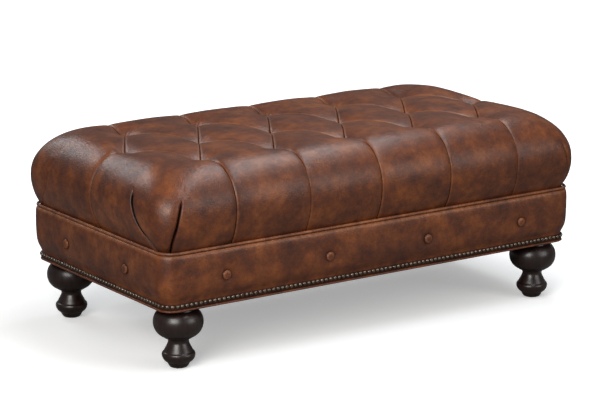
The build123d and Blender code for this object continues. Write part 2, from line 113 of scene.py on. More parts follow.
def edit_all(piece: bpy.types.Object) -> None:
    """Opens a piece in edit mode with all of it selected."""
    make_active(piece)
    bpy.ops.object.mode_set(mode="EDIT")
    bpy.ops.mesh.select_all(action="SELECT")


def close_seams(piece: bpy.types.Object, distance: float = DOUBLES) -> None:
    """Merges doubles and turns the faces outwards.

    Args:
        piece: The mesh object.
        distance: How near two vertices are when they are one.
    """
    edit_all(piece)
    bpy.ops.mesh.remove_doubles(threshold=distance)
    bpy.ops.mesh.select_all(action="SELECT")
    bpy.ops.mesh.normals_make_consistent(inside=False)
    bpy.ops.object.mode_set(mode="OBJECT")


def apply_modifier(piece: bpy.types.Object, kind: str, **settings: object) -> None:
    """Adds a modifier with its settings and applies it.

    Args:
        piece: The mesh object.
        kind: Blender's name for the modifier's type.
        settings: Values of the modifier.
    """
    make_active(piece)
    modifier = piece.modifiers.new(kind, kind)
    for key, value in settings.items():
        setattr(modifier, key, value)
    bpy.ops.object.modifier_apply(modifier=modifier.name)


def settle(piece: bpy.types.Object) -> None:
    """Puts a piece's place, turn and size into its mesh."""
    make_active(piece)
    bpy.ops.object.transform_apply(location=True, rotation=True, scale=True)


def points_of(piece: bpy.types.Object) -> np.ndarray:
    """The vertices of a mesh as rows of x, y and z."""
    flat = np.empty(len(piece.data.vertices) * 3)
    piece.data.vertices.foreach_get("co", flat)
    return flat.reshape(-1, 3)


def move_points(piece: bpy.types.Object, points: np.ndarray) -> None:
    """Moves the vertices of a mesh to rows of x, y and z."""
    piece.data.vertices.foreach_set("co", np.ascontiguousarray(points, dtype=np.float32).ravel())
    piece.data.update()


def paint(piece: bpy.types.Object, name: str, values: np.ndarray) -> None:
    """Stores one value for each vertex under a name that the materials read."""
    layer = piece.data.attributes.new(name, "FLOAT", "POINT")
    layer.data.foreach_set("value", np.ascontiguousarray(values, dtype=np.float32))


def smooth(piece: bpy.types.Object, angle: float = 60.0) -> None:
    """Shades a piece smooth, but for edges sharper than an angle in degrees."""
    make_active(piece)
    bpy.ops.object.shade_smooth_by_angle(angle=math.radians(angle))


def joined(pieces: list[bpy.types.Object], name: str) -> bpy.types.Object:
    """Joins pieces into one object.

    Args:
        pieces: The mesh objects.
        name: The name of the joined one.

    Returns:
        The joined object.
    """
    deselect()
    for piece in pieces:
        piece.select_set(True)
    bpy.context.view_layer.objects.active = pieces[0]
    bpy.ops.object.join()
    return named(name)


def copied(piece: bpy.types.Object) -> bpy.types.Object:
    """A copy of a piece with a mesh of its own."""
    twin = piece.copy()
    twin.data = piece.data.copy()
    bpy.context.collection.objects.link(twin)
    return twin


def facing(place: Place, normal: Point) -> Matrix:
    """The move to a place on an upright face, with the Z axis out along its normal in plan."""
    move = Vector((*normal, 0)).to_track_quat("Z", "Y").to_matrix().to_4x4()
    move.translation = place
    return move


def repeated(piece: bpy.types.Object, moves: list[Matrix], name: str) -> bpy.types.Object:
    """Copies a piece by each move and joins the copies.

    Args:
        piece: The mesh object, which is removed.
        moves: Where each copy goes.
        name: The name of the joined object.

    Returns:
        The joined object.
    """
    copies = []
    for move in moves:
        twin = copied(piece)
        twin.data.transform(move)
        copies.append(twin)
    bpy.data.objects.remove(piece)
    return joined(copies, name)


def grid(name: str, columns: int, rows: int) -> tuple[bpy.types.Object, np.ndarray, np.ndarray]:
    """Adds a flat grid whose vertices are then moved into shape.

    Args:
        name: The object's name.
        columns: Faces from side to side.
        rows: Faces from end to end.

    Returns:
        The object, and each vertex's column and row number.
    """
    deselect()
    bpy.ops.mesh.primitive_grid_add(x_subdivisions=columns, y_subdivisions=rows, size=2)
    piece = named(name)
    flat = points_of(piece)
    column = np.rint((flat[:, 0] + 1) / 2 * columns).astype(int)
    row = np.rint((flat[:, 1] + 1) / 2 * rows).astype(int)
    return piece, column, row


def ease(share: np.ndarray) -> np.ndarray:
    """A smooth step from 0 to 1."""
    share = np.clip(share, 0, 1)
    return share * share * (3 - 2 * share)


def lumps(points: np.ndarray, size: float, seed: float) -> np.ndarray:
    """Smooth noise between about -1 and 1 at each point.

    Args:
        points: Rows of x, y and z.
        size: The length of a lump.
        seed: Moves the pattern.
    """
    shift = Vector((seed, seed * 0.7, seed * 1.3))
    return np.array([noise.noise(Vector(point) / size + shift) for point in points])


def smoothed(profile: list[Point], count: int) -> np.ndarray:
    """A smooth line through the points of a profile, evenly divided.

    Args:
        profile: Points across and up.
        count: How many points the line gets.

    Returns:
        Rows of across and up.
    """
    points = np.array(profile)
    padded = np.vstack([2 * points[0] - points[1], points, 2 * points[-1] - points[-2]])
    fine = []
    for index in range(1, len(padded) - 2):
        before, start, end, after = padded[index - 1 : index + 3]
        share = np.linspace(0, 1, 12, endpoint=False)[:, None]
        fine.append(
            0.5
            * (
                2 * start
                + (end - before) * share
                + (2 * before - 5 * start + 4 * end - after) * share**2
                + (3 * start - before - 3 * end + after) * share**3
            )
        )
    line = np.vstack([*fine, points[-1:]])
    steps = np.concatenate([[0], np.cumsum(np.hypot(*np.diff(line, axis=0).T))])
    even = np.linspace(0, steps[-1], count)
    return np.column_stack([np.interp(even, steps, line[:, axis]) for axis in (0, 1)])


@dataclass(frozen=True)
class Outline:
    """The body's rounded rectangle in plan, followed from the middle of the front towards +X."""

    half_x: float = 0.610
    half_y: float = 0.320
    radius: float = 0.044

    @property
    def length(self) -> float:
        """The whole way round."""
        return 4 * (self.half_x + self.half_y - 2 * self.radius) + 2 * math.pi * self.radius

    def inset(self, by: float) -> "Outline":
        """The outline moved in."""
        return Outline(self.half_x - by, self.half_y - by, self.radius - by)

    def at(self, along: np.ndarray) -> tuple[np.ndarray, np.ndarray]:
        """Places and outward normals in plan.

        Args:
            along: Distances from the middle of the front.

        Returns:
            Rows of x and y, and rows of the normal's x and y.
        """
        flat_x, flat_y = self.half_x - self.radius, self.half_y - self.radius
        turn = self.radius * math.pi / 2
        runs = [flat_x, turn, 2 * flat_y, turn, 2 * flat_x, turn, 2 * flat_y, turn, flat_x]
        ends = np.concatenate([[0], np.cumsum(runs)])
        angles = np.radians([-90, -90, 0, 0, 90, 90, 180, 180, 270, 270])
        along = along % self.length
        angle = np.interp(along, ends, angles)
        centre_x = np.interp(along, ends, [0, *[flat_x] * 4, *[-flat_x] * 4, 0])
        centre_y = np.interp(along, ends, [*[-flat_y] * 3, *[flat_y] * 4, *[-flat_y] * 3])
        normal = np.column_stack([np.cos(angle), np.sin(angle)])
        return np.column_stack([centre_x, centre_y]) + self.radius * normal, normal


WELT_LINE = Outline()


def wrapped(name: str, profile: np.ndarray, step: float) -> tuple[bpy.types.Object, np.ndarray, np.ndarray]:
    """A strip wrapped round the body.

    Args:
        name: The object's name.
        profile: Rows of the distance out from the welt line and the height, from the bottom up.
        step: The length of a face along the body.

    Returns:
        The object, each vertex's distance along the body, and its outward normal in plan.
    """
    columns = round(WELT_LINE.length / step)
    piece, column, row = grid(name, columns, len(profile) - 1)
    along = column / columns * WELT_LINE.length
    place, normal = WELT_LINE.at(along)
    out, height = profile[row].T
    move_points(piece, np.column_stack([place + normal * out[:, None], height]))
    return piece, along, normal


# Finishes


class Recipe:
    """A material under construction."""

    def __init__(self, name: str) -> None:
        """Starts a material with a plain shader.

        Args:
            name: The material's name.
        """
        self.material = bpy.data.materials.new(name)
        self.material.use_nodes = True
        self.nodes = self.material.node_tree.nodes
        self.links = self.material.node_tree.links
        self.shader = self.nodes["Principled BSDF"]
        self.place = self.add("ShaderNodeTexCoord").outputs["Object"]

    def add(self, kind: str, inputs: dict | None = None, **settings: object) -> bpy.types.Node:
        """Adds a node.

        Args:
            kind: Blender's name for the node's type.
            inputs: Values or sockets by the input's name or number.
            settings: Properties of the node.

        Returns:
            The node.
        """
        node = self.nodes.new(kind)
        for key, value in settings.items():
            setattr(node, key, value)
        for key, value in (inputs or {}).items():
            if isinstance(value, bpy.types.NodeSocket):
                self.links.new(value, node.inputs[key])
            else:
                node.inputs[key].default_value = value
        return node

    def noise(self, scale: float, detail: float = 3, roughness: float = 0.55) -> bpy.types.NodeSocket:
        """Cloudy noise, with so many lumps in a metre."""
        return self.add(
            "ShaderNodeTexNoise",
            {"Vector": self.place, "Scale": scale, "Detail": detail, "Roughness": roughness},
        ).outputs["Fac"]

    def stretched(self, sizes: tuple[float, float, float]) -> bpy.types.NodeSocket:
        """The place on the piece, stretched along the axes."""
        return self.add("ShaderNodeMapping", {"Vector": self.place, "Scale": sizes}).outputs["Vector"]

    def attribute(self, name: str) -> bpy.types.NodeSocket:
        """A value that is painted on the mesh."""
        return self.add("ShaderNodeAttribute", attribute_name=name).outputs["Fac"]

    def math(self, operation: str, first: object, second: object = 0.0) -> bpy.types.NodeSocket:
        """Two values put together by an operation."""
        return self.add("ShaderNodeMath", {0: first, 1: second}, operation=operation).outputs[0]

    def weighed(self, first: object, share: float, second: object, other: float) -> bpy.types.NodeSocket:
        """The sum of two values, each times its share."""
        return self.math("ADD", self.math("MULTIPLY", first, share), self.math("MULTIPLY", second, other))

    def spread(
        self, value: bpy.types.NodeSocket, low: float, high: float, to_low: float, to_high: float
    ) -> bpy.types.NodeSocket:
        """A value moved from one range to another and kept in it."""
        return self.add(
            "ShaderNodeMapRange",
            {"Value": value, "From Min": low, "From Max": high, "To Min": to_low, "To Max": to_high},
        ).outputs["Result"]

    def ramp(self, value: bpy.types.NodeSocket, stops: list[tuple[float, tuple]]) -> bpy.types.NodeSocket:
        """A colour chosen by a value.

        Args:
            value: Between 0 and 1.
            stops: Places between 0 and 1 with their colours.

        Returns:
            The colour.
        """
        node = self.add("ShaderNodeValToRGB", {"Fac": value})
        elements = node.color_ramp.elements
        while len(elements) < len(stops):
            elements.new(0.5)
        for element, (place, colour) in zip(elements, stops):
            element.position = place
            element.color = (*colour, 1)
        return node.outputs["Color"]

    def mix(self, share: object, first: object, second: object, blend: str = "MIX") -> bpy.types.NodeSocket:
        """Two colours mixed."""
        node = self.add("ShaderNodeMix", data_type="RGBA", blend_type=blend)
        for index, value in ((0, share), (6, first), (7, second)):
            if isinstance(value, bpy.types.NodeSocket):
                self.links.new(value, node.inputs[index])
            elif index:
                node.inputs[index].default_value = (*value, 1)
            else:
                node.inputs[index].default_value = value
        return node.outputs[2]

    def bump(self, height: bpy.types.NodeSocket, strength: float, distance: float) -> None:
        """Raises the surface by a height."""
        inputs = {"Height": height, "Strength": strength, "Distance": distance}
        self.feed("Normal", self.add("ShaderNodeBump", inputs).outputs["Normal"])

    def feed(self, socket: str, value: object) -> None:
        """Gives the shader's socket a value or a colour, or links one to it."""
        if isinstance(value, bpy.types.NodeSocket):
            self.links.new(value, self.shader.inputs[socket])
        else:
            self.shader.inputs[socket].default_value = value


def linear(red: float, green: float, blue: float) -> tuple[float, float, float]:
    """A colour for the shaders from one that is written in display values of 0 to 255."""
    return tuple(
        value / 12.92 if value <= 0.04045 else ((value + 0.055) / 1.055) ** 2.4
        for value in (red / 255, green / 255, blue / 255)
    )


@dataclass(frozen=True)
class AntiquedLeather:
    """Hand-rubbed leather: mottled browns and pebble grain, with painted shade in its creases and hollows
    and lighter fold edges that are part wear and part painted highlight.
    """

    name: str = "antiqued_leather"
    dark: tuple = linear(66, 35, 25)
    middle: tuple = linear(97, 51, 29)
    light: tuple = linear(134, 75, 37)
    speckle: tuple = (0.62, 0.55, 0.52)
    # colour of the painted shade in creases, tufts and other hollows
    crease: tuple = linear(18, 9, 7)
    # colour of the lighter fold edges: part real wear, part painted highlight
    rim_wear_and_highlight: tuple = linear(170, 108, 68)
    patches_per_metre: float = 13.0
    mottle_per_metre: float = 48.0
    grain_per_metre: float = 320.0
    patch_share: float = 0.54
    mottle_share: float = 0.46
    pebble_share: float = 0.45
    roughness: tuple = (0.32, 0.5)
    sheen: float = 0.4
    coat: float = 0.06

    def make(self) -> bpy.types.Material:
        """Builds the material."""
        recipe = Recipe(self.name)
        patches = recipe.spread(recipe.noise(self.patches_per_metre, 3, 0.55), 0.3, 0.7, 0, 1)
        mottle = recipe.spread(recipe.noise(self.mottle_per_metre, 6, 0.72), 0.3, 0.7, 0, 1)
        tone = recipe.weighed(patches, self.patch_share, mottle, self.mottle_share)
        colour = recipe.ramp(tone, [(0.12, self.dark), (0.48, self.middle), (0.92, self.light)])
        # lighter fold edges, part wear and part painted highlight, broken up by the mottle
        edge_wear_and_highlight = recipe.math("MULTIPLY", recipe.attribute("rim_wear_and_highlight"), recipe.spread(mottle, 0, 1, 0.3, 1))
        colour = recipe.mix(edge_wear_and_highlight, colour, self.rim_wear_and_highlight)
        pebbles = recipe.spread(recipe.noise(self.grain_per_metre * 0.8, 2, 0.6), 0.3, 0.7, 0, 1)
        speckled = recipe.math("MULTIPLY", pebbles, self.pebble_share)
        colour = recipe.mix(speckled, colour, self.speckle, "MULTIPLY")
        # painted shade: darkens the colour where the mesh is painted as shaded, and lowers the sheen and
        # coat there
        crease = recipe.attribute("crease")
        recipe.feed("Base Color", recipe.mix(crease, colour, self.crease))
        low, high = self.roughness
        recipe.feed("Roughness", recipe.spread(recipe.mix(0.5, mottle, pebbles), 0, 1, high, low))
        recipe.feed("Specular IOR Level", recipe.spread(crease, 0, 1, self.sheen, 0.04))
        recipe.feed("Coat Weight", recipe.spread(crease, 0, 1, self.coat, 0))
        recipe.feed("Coat Roughness", 0.24)
        cells = recipe.add(
            "ShaderNodeTexVoronoi",
            {"Vector": recipe.place, "Scale": self.grain_per_metre},
            feature="SMOOTH_F1",
        ).outputs["Distance"]
        pores = recipe.noise(self.grain_per_metre * 2.2, 2)
        grain = recipe.weighed(cells, -0.8, pores, 0.4)
        recipe.bump(recipe.math("ADD", grain, recipe.math("MULTIPLY", mottle, 0.3)), 0.6, 0.001)
        return recipe.material


@dataclass(frozen=True)
class Wood:
    """Timber with its grain along one axis, bare or stained."""

    name: str
    dark: tuple
    light: tuple
    roughness: float
    along: tuple[float, float, float] = (1.0, 12.0, 12.0)
    coat: float = 0.0
    coat_roughness: float = 0.26

    def make(self) -> bpy.types.Material:
        """Builds the material."""
        recipe = Recipe(self.name)
        fibres = recipe.add(
            "ShaderNodeTexNoise", {"Vector": recipe.stretched(self.along), "Scale": 14, "Detail": 6}
        ).outputs["Fac"]
        recipe.feed("Base Color", recipe.ramp(fibres, [(0.3, self.dark), (0.7, self.light)]))
        low, high = self.roughness * 0.85, self.roughness * 1.15
        recipe.feed("Roughness", recipe.spread(fibres, 0.3, 0.7, low, high))
        recipe.feed("Coat Weight", self.coat)
        recipe.feed("Coat Roughness", self.coat_roughness)
        recipe.bump(fibres, 0.12, 0.0004)
        return recipe.material


@dataclass(frozen=True)
class Metal:
    """Metal with a patina in noise spots."""

    name: str
    bright: tuple
    patina: tuple
    roughness: float

    def make(self) -> bpy.types.Material:
        """Builds the material."""
        recipe = Recipe(self.name)
        spots = recipe.noise(240, 4, 0.65)
        recipe.feed("Base Color", recipe.ramp(spots, [(0.35, self.patina), (0.62, self.bright)]))
        recipe.feed("Metallic", 1.0)
        recipe.feed("Roughness", recipe.spread(spots, 0.3, 0.7, self.roughness * 1.3, self.roughness * 0.8))
        recipe.bump(spots, 0.15, 0.0002)
        return recipe.material


@dataclass(frozen=True)
class Soft:
    """Foam, fibre, twine or cloth: a pale or dark matt stuff with a fine texture."""

    name: str
    dark: tuple
    light: tuple
    per_metre: float
    bump: float = 0.3

    def make(self) -> bpy.types.Material:
        """Builds the material."""
        recipe = Recipe(self.name)
        cells = recipe.noise(self.per_metre, 4, 0.7)
        recipe.feed("Base Color", recipe.ramp(cells, [(0.3, self.dark), (0.7, self.light)]))
        recipe.feed("Roughness", 0.92)
        recipe.bump(cells, self.bump, 0.0006)
        return recipe.material


@dataclass(frozen=True)
class WovenCambric:
    """Black cambric with a fine weave."""

    name: str = "cambric"
    dark: tuple = linear(16, 16, 18)
    light: tuple = linear(38, 37, 38)
    threads_per_metre: float = 180.0

    def make(self) -> bpy.types.Material:
        """Builds the material."""
        recipe = Recipe(self.name)
        threads = [
            recipe.add(
                "ShaderNodeTexWave",
                {"Vector": recipe.place, "Scale": self.threads_per_metre, "Distortion": 0.6},
                bands_direction=axis,
            ).outputs["Fac"]
            for axis in ("X", "Y")
        ]
        weave = recipe.math("MULTIPLY", *threads)
        recipe.feed("Base Color", recipe.ramp(weave, [(0.1, self.dark), (0.8, self.light)]))
        recipe.feed("Roughness", 0.88)
        recipe.bump(weave, 0.4, 0.0003)
        return recipe.material


# The pad


@dataclass
class PadCover:
    """The diamond-tufted leather top.

    It is cut as a flat sheet, in which the shoulder and the sides lie unrolled round the tufted field. The
    sheet is then laid over the pad's form and drawn in at the tufts, creases, pleats and darts.
    """

    half_step: float = 104.5 * MM
    row_gap: float = 173 * MM
    tuft_depth: float = 30 * MM
    half_x: float = 610 * MM
    half_y: float = 320 * MM
    deck_top: float = 288 * MM
    swell: float = 90 * MM
    base_inset: float = 12 * MM
    overhang: float = 14 * MM
    shoulder: float = 104 * MM
    corner: float = 66 * MM
    top_corner_share: float = 1.5
    base_corner_share: float = 0.6
    cell_faces: int = 40
    skirt_rows: int = 84
    dart_faces: int = 24
    valley: float = 88 * MM
    end_valley: float = 50 * MM
    pleat_depth: float = 3.6 * MM
    puff: float = 3.0 * MM
    shallow: float = 0.6
    crease_depth: float = 3.2 * MM
    crease_width: float = 1.5 * MM
    funnel_depth: float = 4 * MM
    funnel_width: float = 7 * MM
    slackness: float = 0.002
    pressure: float = 2.0
    frames: int = 14
    cloth_cap: float = 6 * MM
    held_round_tufts: float = 9 * MM
    held_foot: float = 14 * MM
    stiffness: float = 25.0
    bending: float = 1.5
    vertex_mass: float = 0.4
    dart_depth: float = 9 * MM
    dart_inside: float = 6.5 * MM
    dart_outside: float = 1.9 * MM
    dart_heads: tuple = (106 * MM, 112 * MM)
    pleat_strengths: tuple = ((1.0, 0.55, 0.9, 0.85, 0.45), (0.6, 0.9, 0.5, 0.8, 1.0))

    def __post_init__(self) -> None:
        """Works out the levels of the form."""
        self.end_x = 5 * self.half_step
        self.side_radius = (self.swell**2 + (self.overhang + self.base_inset) ** 2) / (
            2 * (self.overhang + self.base_inset)
        )
        self.shoulder_run = self.shoulder * math.pi / 2
        self.side_run = self.side_radius * math.asin(self.swell / self.side_radius)
        self.run = self.shoulder_run + self.side_run
        self.field_corner = self.corner * self.top_corner_share
        self.flat_x = self.half_x + self.overhang - self.shoulder
        self.flat_y = self.half_y + self.overhang - self.shoulder
        self.turn_x = self.flat_x - self.field_corner
        self.turn_y = self.flat_y - self.field_corner
        self.widest = self.deck_top + self.swell
        outer_row = (-4, -2, 0, 2, 4)
        places = [(share, 0) for share in (-5, -3, -1, 1, 3, 5)]
        places += [(share, side) for side in (-1, 1) for share in outer_row]
        self.tufts = np.array([(share * self.half_step, row * self.row_gap) for share, row in places])

    # The flat sheet

    def divisions(self, faces: int) -> np.ndarray:
        """Places from -1 to 1 that lie closer together towards both ends."""
        share = np.linspace(-1, 1, faces + 1)
        return 0.12 * share + 0.88 * np.sin(share * math.pi / 2)

    def field(self) -> bpy.types.Object:
        """The sheet between the outer rows of pillows: a grid along the creases, cut square."""
        cells = 7
        piece, column, row = grid("pad_field", cells * self.cell_faces, cells * self.cell_faces)
        marks = np.concatenate(
            [centre + self.divisions(self.cell_faces)[:-1] for centre in range(-6, 7, 2)] + [[7.0]]
        )
        along, across = marks[column], marks[row]
        flat = np.column_stack(
            [
                self.half_step * (along + across) / 2,
                self.row_gap * (along - across) / 2,
                np.zeros(len(along)),
            ]
        )
        move_points(piece, flat)
        for place, normal in (
            ((self.end_x, 0, 0), (1, 0, 0)),
            ((-self.end_x, 0, 0), (-1, 0, 0)),
            ((0, self.row_gap, 0), (0, 1, 0)),
            ((0, -self.row_gap, 0), (0, -1, 0)),
        ):
            edit_all(piece)
            bpy.ops.mesh.bisect(
                plane_co=place, plane_no=normal, clear_outer=True, threshold=CUT_TOLERANCE
            )
        deselect()
        return piece

    def outer(self, from_turn: np.ndarray) -> np.ndarray:
        """How far the unrolled sheet reaches past a turn's axis, at a distance past it along the edge."""
        reach = self.field_corner + self.run
        return np.sqrt(reach**2 - np.clip(from_turn, 0, None) ** 2)

    def row_shares(self) -> np.ndarray:
        """How far out each row of the skirt lies, closer together near the tufts."""
        share = np.linspace(0, 1, self.skirt_rows + 1)
        return 0.35 * share + 0.65 * share**1.6

    def side_skirt(self, side: int) -> bpy.types.Object:
        """The sheet over one long side, between the two corner pillows."""
        marks = np.concatenate([centre + self.divisions(self.cell_faces) for centre in range(-5, 6, 2)])
        marks = np.unique(np.round(marks[np.abs(marks) <= 5 + 1e-9], 9))
        piece, column, row = grid("pad_side", len(marks) - 1, self.skirt_rows)
        across = self.half_step * marks[column]
        reach = self.turn_y + self.outer(np.abs(across) - self.turn_x)
        out = self.row_gap + (reach - self.row_gap) * self.row_shares()[row]
        move_points(piece, np.column_stack([across * -side, side * out, np.zeros(len(out))]))
        return piece

    def end_skirt(self, end: int) -> bpy.types.Object:
        """The sheet over one end, between the two corner pillows."""
        half = self.divisions(self.cell_faces)
        half = 1 + half[half <= 1e-9]
        marks = np.concatenate([-half[::-1], half[1:]])
        piece, column, row = grid("pad_end", len(marks) - 1, self.skirt_rows)
        across = self.row_gap * marks[column]
        reach = self.turn_x + self.outer(np.abs(across) - self.turn_y)
        out = self.end_x + (reach - self.end_x) * self.row_shares()[row]
        move_points(piece, np.column_stack([end * out, across * end, np.zeros(len(out))]))
        return piece

    def dart_angles(self, out: np.ndarray) -> tuple[np.ndarray, np.ndarray]:
        """Where the two darts run, as angles round the turn's axis.

        Args:
            out: Distances from the edge of the flat field.

        Returns:
            The angles of the end face's dart and of the side's.
        """
        marks = (0, 90, 120, 150, 190, 225, self.run / MM)
        lines = [
            smoothed(list(zip(marks, degrees)), 80)
            for degrees in ((17, 15.0, 14.6, 15.6, 20, 29, 37.0), (57, 55, 54.2, 53.4, 51.4, 48.6, 46.4))
        ]
        return tuple(np.interp(out, line[:, 0] * MM, np.radians(line[:, 1])) for line in lines)

    def corner_skirt(self, end: int, side: int) -> bpy.types.Object:
        """The sheet over one corner, fanned out from the corner pillow along its darts."""
        columns = 3 * self.dart_faces
        piece, column, row = grid("pad_corner", columns, self.skirt_rows)
        share = self.row_shares()[row]
        along_end = self.end_x + (self.turn_x + self.outer(self.row_gap - self.turn_y) - self.end_x) * share
        along_side = (
            self.row_gap + (self.turn_y + self.outer(self.end_x - self.turn_x) - self.row_gap) * share
        )
        end_out = np.hypot(along_end - self.turn_x, self.row_gap - self.turn_y)
        side_out = np.hypot(self.end_x - self.turn_x, along_side - self.turn_y)
        end_angle = np.arctan2(self.row_gap - self.turn_y, along_end - self.turn_x)
        side_angle = np.arctan2(along_side - self.turn_y, self.end_x - self.turn_x)
        third = (self.divisions(self.dart_faces) + 1) / 2
        marks = np.concatenate([third[:-1], 1 + third[:-1], 2 + third])[column]
        spread = side_angle - end_angle
        darts = [end_angle + 0.2 * spread, end_angle + 0.7 * spread]
        for _ in range(6):
            for number, angle in enumerate(darts):
                at_dart = end_out + (side_out - end_out) * (angle - end_angle) / np.maximum(spread, 1e-9)
                aim = self.dart_angles(at_dart - self.field_corner)[number]
                darts[number] = np.clip(aim, end_angle + 0.03 * spread, side_angle - 0.03 * spread)
        first, second = darts
        angle = np.select(
            [marks <= 1, marks <= 2],
            [
                end_angle + (first - end_angle) * marks,
                first + (second - first) * (marks - 1),
            ],
            second + (side_angle - second) * (marks - 2),
        )
        blend = np.divide(angle - end_angle, spread, out=np.zeros_like(angle), where=spread > 1e-9)
        out = end_out + (side_out - end_out) * blend
        x = end * (self.turn_x + out * np.cos(angle))
        y = side * (self.turn_y + out * np.sin(angle))
        move_points(piece, np.column_stack([x, y, np.zeros(len(x))]))
        return piece

    def sheet(self) -> bpy.types.Object:
        """The whole flat sheet."""
        parts = [self.field()]
        parts += [self.side_skirt(side) for side in (-1, 1)]
        parts += [self.end_skirt(end) for end in (-1, 1)]
        parts += [self.corner_skirt(end, side) for end in (-1, 1) for side in (-1, 1)]
        piece = joined(parts, "pad_leather")
        edit_all(piece)
        bpy.ops.mesh.remove_doubles(threshold=SHEET_DOUBLES)
        deselect()
        return piece

    # The form under it

    def lay(self, flat: np.ndarray) -> tuple[np.ndarray, np.ndarray]:
        """Lays the flat sheet over the pad's form.

        Args:
            flat: Rows of x and y on the flat sheet.

        Returns:
            The places on the form and its outward normals.
        """
        sign_x, sign_y = np.sign(flat[:, 0]), np.sign(flat[:, 1])
        x, y = np.abs(flat[:, 0]), np.abs(flat[:, 1])
        past_x, past_y = x - self.turn_x, y - self.turn_y
        cornered = (past_x > 0) & (past_y > 0)
        out = np.where(
            cornered,
            np.hypot(past_x, past_y) - self.field_corner,
            np.maximum(x - self.flat_x, y - self.flat_y),
        )
        out = np.clip(out, 0, self.run)
        roll = np.clip(out / self.shoulder, 0, math.pi / 2)
        tuck = np.clip((out - self.shoulder_run) / self.side_radius, 0, None)
        over = np.where(
            out <= self.shoulder_run,
            self.overhang - self.shoulder * (1 - np.sin(roll)),
            self.overhang - self.side_radius * (1 - np.cos(tuck)),
        )
        height = np.where(
            out <= self.shoulder_run,
            self.widest + self.shoulder * np.cos(roll),
            self.widest - self.side_radius * np.sin(tuck),
        )
        level = np.where(tuck > 0, (height - self.deck_top) / self.swell, 1)
        radius = self.corner * np.where(
            tuck > 0,
            self.base_corner_share + (1 - self.base_corner_share) * level,
            1 + (self.top_corner_share - 1) * (1 - roll / (math.pi / 2)),
        )
        reach_x, reach_y = self.half_x + over, self.half_y + over
        first = np.clip(reach_y - radius - self.turn_y, 0, None)
        last = np.clip(reach_x - radius - self.turn_x, 0, None)
        whole = first + radius * math.pi / 2 + last
        along = np.arctan2(np.clip(past_y, 0, None), np.clip(past_x, 1e-12, None)) / (math.pi / 2) * whole
        turn = np.clip((along - first) / radius, 0, math.pi / 2)
        corner_x = np.where(
            along < first + radius * math.pi / 2,
            reach_x - radius + radius * np.cos(turn),
            self.turn_x + whole - along,
        )
        corner_y = np.where(along > first, reach_y - radius + radius * np.sin(turn), self.turn_y + along)
        on_top = out <= 0
        on_side = ~cornered & (y - self.flat_y > x - self.flat_x)
        place_x = np.select([on_top, cornered, on_side], [x, corner_x, x], reach_x)
        place_y = np.select([on_top, cornered, on_side], [y, corner_y, reach_y], y)
        normal_turn = np.select([cornered, on_side], [turn, math.pi / 2], 0)
        lean = np.where(tuck > 0, math.pi / 2 + tuck, roll)
        normal = np.column_stack(
            [
                sign_x * np.sin(lean) * np.cos(normal_turn),
                sign_y * np.sin(lean) * np.sin(normal_turn),
                np.cos(lean),
            ]
        )
        return np.column_stack([sign_x * place_x, sign_y * place_y, height]), normal

    # What draws it in

    def fall(self, first: np.ndarray, second: np.ndarray) -> np.ndarray:
        """How far a pillow has fallen, as a share of the tufts' depth.

        Args:
            first: The share of the way from its middle to its creases of one direction.
            second: The share of the way to those of the other.
        """
        first, second = (0.76 * share**2 + 0.24 * share**7 for share in (first, second))
        return (1 - self.shallow) * (first + second) / 2 + self.shallow * first * second

    def shape(self, flat: np.ndarray) -> dict[str, np.ndarray]:
        """How far the sheet is drawn in at each point, and its creases.

        Args:
            flat: Rows of x and y on the flat sheet.

        Returns:
            The depth, the painted shade along the creases, round the tufts and along the darts, the lighter
            fold edges (part wear, part painted highlight), and the distance from the nearest tuft.
        """
        x, y = flat.T
        perpendicular = self.half_step * self.row_gap / math.hypot(self.half_step, self.row_gap)
        along, across = x / self.half_step + y / self.row_gap, x / self.half_step - y / self.row_gap
        p, q = np.abs((along + 1) % 2 - 1), np.abs((across + 1) % 2 - 1)
        on_side = (np.abs(y) > self.row_gap) & (np.abs(x) <= self.end_x)
        on_end = (np.abs(x) > self.end_x) & (np.abs(y) <= self.row_gap)
        in_corner = (np.abs(x) > self.end_x) & (np.abs(y) > self.row_gap)
        share = np.where(on_side, np.abs((x / self.half_step) % 2 - 1), 1 - np.abs(y) / self.row_gap)
        share = np.clip(share, 0, 1)
        half = np.where(on_side, self.half_step, self.row_gap)
        out = np.where(on_side, np.abs(y) - self.row_gap, np.abs(x) - self.end_x)
        valley = np.where(on_side, self.valley, self.end_valley)
        fade = ease(out / valley)
        number = np.clip(np.rint(x / (2 * self.half_step)).astype(int) + 2, 0, 4)
        strength = np.where(on_side, np.array(self.pleat_strengths)[(y > 0).astype(int), number], 0.75)
        strength = 1 - (1 - strength) * ease((out - 60 * MM) / (90 * MM))
        pleat = self.tuft_depth + (self.pleat_depth * strength - self.tuft_depth) * fade
        strip = pleat * ((1 - fade) * self.fall(share, share) + fade * share**18)
        strip = strip + fade * self.puff * share**2
        pillow = self.tuft_depth * self.fall(p, q)
        nip_p = np.exp(-(1 - p) * perpendicular / self.crease_width)
        nip_q = np.exp(-(1 - q) * perpendicular / self.crease_width)
        near = ease(out / (12 * MM))
        nip_strip = (1 - near) * 2 * np.exp(-(1 - share) * perpendicular / self.crease_width)
        nip_strip += near * strength * 0.7 * np.exp(-(1 - share) * half / self.crease_width)
        strip_any = on_side | on_end
        depth = np.select([in_corner, strip_any], [0, strip], pillow)
        nip = np.select([in_corner, strip_any], [0, nip_strip], nip_p + nip_q)
        gap = np.select(
            [in_corner, strip_any],
            [1.0, (1 - share) * np.where(near > 0.5, half, perpendicular)],
            (1 - np.maximum(p, q)) * perpendicular,
        )
        shown = np.where(strip_any, 1 - near * (1 - strength), 1)
        dart, dart_gap = self.darts(flat)
        off_x, off_y = x[:, None] - self.tufts[:, 0], y[:, None] - self.tufts[:, 1]
        nearest = np.argmin(np.hypot(off_x, off_y), axis=1)[:, None]
